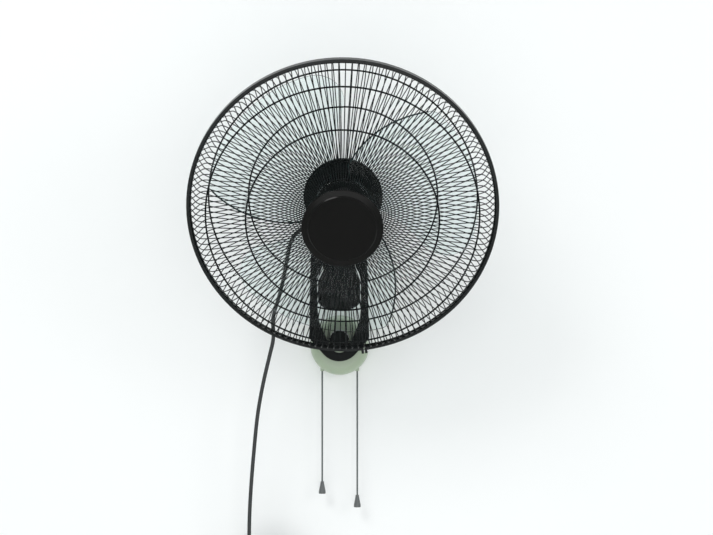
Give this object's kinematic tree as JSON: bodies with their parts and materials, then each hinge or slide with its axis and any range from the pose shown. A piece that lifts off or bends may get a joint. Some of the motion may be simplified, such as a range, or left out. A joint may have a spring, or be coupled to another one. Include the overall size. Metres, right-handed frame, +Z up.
{
  "type": "wall mounted fan",
  "caption": "Wall mounted oscillating fan: a wire guard with clear blades on a black tilting fork arm, a round wall base, pull cords and a mains lead.",
  "frame": {"origin": "middle of the wall plate, on the wall", "axes": "+Z up, +Y into the wall, the fan faces -Y, +X to the right as seen from the front"},
  "size_m": [0.446, 0.3814, 0.8659],
  "materials": {
    "sage_shell": "satin",
    "black_shell": "semi-gloss",
    "black_gloss": "high gloss",
    "clear_blades": "clear, glossy",
    "guard_wire": "smooth coated wire",
    "guard_rim": "satin",
    "plate_steel": "zinc plated",
    "steel": "turned",
    "screw_steel": "plated",
    "motor_cast": "cast",
    "lamination": "laminated",
    "copper": "enamelled wire",
    "bronze": "sintered",
    "nylon": "moulded",
    "switch_body": "moulded",
    "pull_line": "braided cord",
    "pull_bell": "moulded",
    "cord_jacket": "satin",
    "plug_moulding": "moulded",
    "plug_metal": "nickel plated"
  },
  "bodies": {
    "wall_side": {"wall_plate": "plate_steel", "base_housing": "sage_shell", "base_screws": "screw_steel", "terminal_block": "nylon", "cord_eyelets": "black_shell", "speed_switch": "switch_body", "swing_switch": "switch_body", "arm": "black_shell", "clamp_bolt": "steel", "power_cord": "cord_jacket", "power_cord_coil": "cord_jacket", "plug_body": "plug_moulding", "plug_pins": "plug_metal", "cord_tie": "nylon"},
    "knob_side": {"arm_knob": "black_shell"},
    "barrel_side": {"swing_barrel": "black_shell", "barrel_cap": "black_shell", "swing_motor": "plate_steel", "thrust_washer": "nylon", "spindle_bush": "bronze", "tilt_screws": "steel", "tilt_washers": "nylon", "cord_gland": "black_shell"},
    "crank_side": {"swing_crank": "nylon"},
    "head_side": {"pan_spindle": "steel", "swing_lever": "plate_steel", "motor_bracket": "plate_steel", "motor_rear_bell": "motor_cast", "bracket_screws": "screw_steel", "motor_front_bell": "motor_cast", "shaft_bushes": "bronze", "stator_core": "lamination", "stator_windings": "copper", "motor_front_cover": "black_shell", "motor_rear_cover": "black_shell", "rear_cover_screw": "screw_steel", "capacitor": "switch_body", "front_guard": "guard_wire", "rear_guard": "guard_wire", "guard_nut": "black_shell", "guard_rim_band": "guard_rim", "rim_screw": "screw_steel", "badge": "black_gloss", "badge_screws": "screw_steel"},
    "rotor_side": {"rotor_core": "lamination", "motor_shaft": "steel", "drive_pin": "steel", "fan_blades": "clear_blades", "blade_nut": "black_shell"},
    "speed_pull": {"pull_slider_left": "nylon", "pull_cord_left": "pull_line", "pull_knob_left": "pull_bell"},
    "swing_pull": {"pull_slider_right": "nylon", "pull_cord_right": "pull_line", "pull_knob_right": "pull_bell"}
  },
  "joints": [
    {"name": "arm_knob_turn", "type": "hinge", "parent": "wall_side", "child": "knob_side", "pos_m": [0, -0.0811, 0.012], "axis": [0, -1, 0], "range_deg": [0, 360]},
    {"name": "tilt", "type": "hinge", "parent": "wall_side", "child": "barrel_side", "pos_m": [0, -0.1235, 0.1322], "axis": [1, 0, 0], "range_deg": [-20, 10]},
    {"name": "pan", "type": "hinge", "parent": "barrel_side", "child": "head_side", "pos_m": [0, -0.1235, 0.1322], "axis": [0, -0.3971, 0.9178], "range_deg": [-40, 40]},
    {"name": "swing_crank", "type": "hinge", "parent": "barrel_side", "child": "crank_side", "pos_m": [0, -0.11203, 0.13716], "axis": [0, -0.3971, 0.9178], "range_deg": [-130, 130]},
    {"name": "blade_spin", "type": "hinge", "parent": "head_side", "child": "rotor_side", "pos_m": [0.007, -0.26991, 0.20614], "axis": [0, -0.9178, -0.3971], "continuous": true},
    {"name": "speed_pull", "type": "slide", "parent": "wall_side", "child": "speed_pull", "axis": [0, 0, -1], "range_m": [0, 0.012], "stiffness_N_per_m": 300},
    {"name": "swing_pull", "type": "slide", "parent": "wall_side", "child": "swing_pull", "axis": [0, 0, -1], "range_m": [0, 0.012], "stiffness_N_per_m": 300}
  ],
  "couplings": [
    {"joint": "swing_crank", "follows": "pan", "ratio": 3.25}
  ]
}
